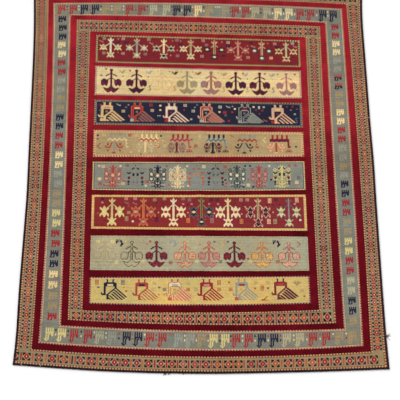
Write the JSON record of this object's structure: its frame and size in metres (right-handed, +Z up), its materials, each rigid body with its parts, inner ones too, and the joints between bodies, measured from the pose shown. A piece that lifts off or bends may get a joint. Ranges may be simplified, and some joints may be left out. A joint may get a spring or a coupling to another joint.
{
  "type": "soumak rug",
  "caption": "Flat woven wool rug with raised plush bands that frame a field of crosswise panels, and an overcast edge all round.",
  "frame": {"origin": "on the floor, under the middle of the rug's bounding box", "axes": "+Y along the rug's length, from its front end to its back end; +X across it to the right; +Z up from the floor"},
  "size_m": [1.5461, 1.8995, 0.0094],
  "materials": {
    "rug_wool": "matt wrapped wool with short plush bands",
    "edge_wool": "matt dark wool, overcast"
  },
  "bodies": {
    "root": {"rug_body": "rug_wool", "binding_left": "edge_wool", "binding_right": "edge_wool", "binding_front": "edge_wool", "binding_back": "edge_wool"}
  },
  "joints": []
}
